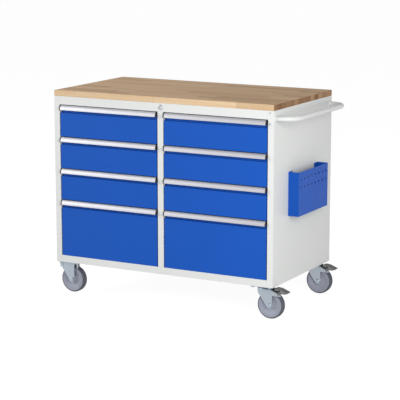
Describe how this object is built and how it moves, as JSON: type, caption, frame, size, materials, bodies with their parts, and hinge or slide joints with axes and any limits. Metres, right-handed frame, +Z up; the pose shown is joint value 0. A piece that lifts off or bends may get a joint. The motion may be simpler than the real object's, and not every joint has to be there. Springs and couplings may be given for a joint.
{
  "type": "mobile workbench with drawers",
  "caption": "Mobile steel workbench with a beech worktop, two columns of blue drawers, a push bar, a perforated side box and swivel and fixed casters.",
  "frame": {"origin": "on the floor, at the middle of the object's outer box, the push bar and the grips included (cabinet centre at x -47.5 mm, y +5.25 mm)", "axes": "+X along the worktop's length towards the push bar, -Y out of the drawer fronts, +Z up"},
  "size_m": [1.235, 0.6306, 0.969],
  "materials": {
    "body_grey": "light grey powder coat, fine texture, half matt",
    "blue_paint": "gentian blue powder coat, half matt",
    "drawer_grey": "light grey powder coat inside the cabinet",
    "beech": "glued beech staves, oiled",
    "grip_aluminium": "extruded strip, satin anodised",
    "runner_zinc": "rolled steel section, zinc plated",
    "zinc": "pressed steel, bright blue zinc plated",
    "lock_chrome": "die-cast cylinder, nickel plated",
    "tyre": "dark grey thermoplastic rubber, matt",
    "wheel_core": "moulded grey polypropylene",
    "end_cap_black": "black moulded end caps of the grips"
  },
  "bodies": {
    "cabinet": {"left_side_panel": "body_grey", "right_side_panel": "body_grey", "back_panel": "body_grey", "top_rail": "body_grey", "bottom_rail": "body_grey", "bottom_panel": "body_grey", "centre_partition": "body_grey", "worktop": "beech", "runners_left_outer": "runner_zinc", "runners_left_inner": "runner_zinc", "runners_right_inner": "runner_zinc", "runners_right_outer": "runner_zinc", "push_bar": "body_grey", "document_box": "blue_paint", "fork_front_left": "zinc", "axle_front_left": "zinc", "fork_rear_left": "zinc", "axle_rear_left": "zinc", "swivel_plate_front_right": "zinc", "swivel_plate_rear_right": "zinc"},
    "drawer_left_1": {"drawer_left_1_box": "drawer_grey", "drawer_left_1_front": "blue_paint", "drawer_left_1_grip": "grip_aluminium"},
    "drawer_left_2": {"drawer_left_2_box": "drawer_grey", "drawer_left_2_front": "blue_paint", "drawer_left_2_grip": "grip_aluminium"},
    "drawer_left_3": {"drawer_left_3_box": "drawer_grey", "drawer_left_3_front": "blue_paint", "drawer_left_3_grip": "grip_aluminium"},
    "drawer_left_4": {"drawer_left_4_box": "drawer_grey", "drawer_left_4_front": "blue_paint", "drawer_left_4_grip": "grip_aluminium"},
    "drawer_right_1": {"drawer_right_1_box": "drawer_grey", "drawer_right_1_front": "blue_paint", "drawer_right_1_grip": "grip_aluminium"},
    "drawer_right_2": {"drawer_right_2_box": "drawer_grey", "drawer_right_2_front": "blue_paint", "drawer_right_2_grip": "grip_aluminium"},
    "drawer_right_3": {"drawer_right_3_box": "drawer_grey", "drawer_right_3_front": "blue_paint", "drawer_right_3_grip": "grip_aluminium"},
    "drawer_right_4": {"drawer_right_4_box": "drawer_grey", "drawer_right_4_front": "blue_paint", "drawer_right_4_grip": "grip_aluminium"},
    "lock_cylinder": {"lock_cylinder": "lock_chrome"},
    "lock_bar": {"lock_bar": "zinc"},
    "wheel_front_left": {"wheel_front_left": "wheel_core", "tyre_front_left": "tyre"},
    "wheel_front_right": {"wheel_front_right": "wheel_core", "tyre_front_right": "tyre"},
    "caster_front_right": {"fork_front_right": "zinc", "axle_front_right": "zinc"},
    "brake_front_right": {"brake_pedal_front_right": "zinc"},
    "wheel_rear_left": {"wheel_rear_left": "wheel_core", "tyre_rear_left": "tyre"},
    "wheel_rear_right": {"wheel_rear_right": "wheel_core", "tyre_rear_right": "tyre"},
    "caster_rear_right": {"fork_rear_right": "zinc", "axle_rear_right": "zinc"},
    "brake_rear_right": {"brake_pedal_rear_right": "zinc"}
  },
  "joints": [
    {"name": "drawer_left_1_slide", "type": "slide", "parent": "cabinet", "child": "drawer_left_1", "axis": [0, -1, 0], "range_m": [0, 0.45]},
    {"name": "drawer_left_2_slide", "type": "slide", "parent": "cabinet", "child": "drawer_left_2", "axis": [0, -1, 0], "range_m": [0, 0.45]},
    {"name": "drawer_left_3_slide", "type": "slide", "parent": "cabinet", "child": "drawer_left_3", "axis": [0, -1, 0], "range_m": [0, 0.45]},
    {"name": "drawer_left_4_slide", "type": "slide", "parent": "cabinet", "child": "drawer_left_4", "axis": [0, -1, 0], "range_m": [0, 0.45]},
    {"name": "drawer_right_1_slide", "type": "slide", "parent": "cabinet", "child": "drawer_right_1", "axis": [0, -1, 0], "range_m": [0, 0.45]},
    {"name": "drawer_right_2_slide", "type": "slide", "parent": "cabinet", "child": "drawer_right_2", "axis": [0, -1, 0], "range_m": [0, 0.45]},
    {"name": "drawer_right_3_slide", "type": "slide", "parent": "cabinet", "child": "drawer_right_3", "axis": [0, -1, 0], "range_m": [0, 0.45]},
    {"name": "drawer_right_4_slide", "type": "slide", "parent": "cabinet", "child": "drawer_right_4", "axis": [0, -1, 0], "range_m": [0, 0.45]},
    {"name": "lock_turn", "type": "hinge", "parent": "cabinet", "child": "lock_cylinder", "pos_m": [-0.0475, -0.30475, 0.923], "axis": [0, 1, 0], "range_deg": [0, 90]},
    {"name": "lock_bar_lift", "type": "slide", "parent": "cabinet", "child": "lock_bar", "axis": [0, 0, 1], "range_m": [0, 0.01]},
    {"name": "roll_front_left", "type": "hinge", "parent": "cabinet", "child": "wheel_front_left", "pos_m": [-0.5495, -0.25775, 0.0625], "axis": [0, 1, 0], "continuous": true},
    {"name": "swivel_front_right", "type": "hinge", "parent": "cabinet", "child": "caster_front_right", "pos_m": [0.4565, -0.25775, 0.138], "axis": [0, 0, 1], "continuous": true},
    {"name": "brake_front_right", "type": "hinge", "parent": "caster_front_right", "child": "brake_front_right", "pos_m": [0.5385, -0.25775, 0.118], "axis": [0, 1, 0], "range_deg": [0, 14]},
    {"name": "roll_front_right", "type": "hinge", "parent": "caster_front_right", "child": "wheel_front_right", "pos_m": [0.4945, -0.25775, 0.0625], "axis": [0, 1, 0], "continuous": true},
    {"name": "roll_rear_left", "type": "hinge", "parent": "cabinet", "child": "wheel_rear_left", "pos_m": [-0.5495, 0.26825, 0.0625], "axis": [0, 1, 0], "continuous": true},
    {"name": "swivel_rear_right", "type": "hinge", "parent": "cabinet", "child": "caster_rear_right", "pos_m": [0.4565, 0.26825, 0.138], "axis": [0, 0, 1], "continuous": true},
    {"name": "brake_rear_right", "type": "hinge", "parent": "caster_rear_right", "child": "brake_rear_right", "pos_m": [0.5385, 0.26825, 0.118], "axis": [0, 1, 0], "range_deg": [0, 14]},
    {"name": "roll_rear_right", "type": "hinge", "parent": "caster_rear_right", "child": "wheel_rear_right", "pos_m": [0.4945, 0.26825, 0.0625], "axis": [0, 1, 0], "continuous": true}
  ],
  "couplings": [
    {"joint": "lock_turn", "follows": "lock_bar_lift", "rad_per_m": 157}
  ]
}
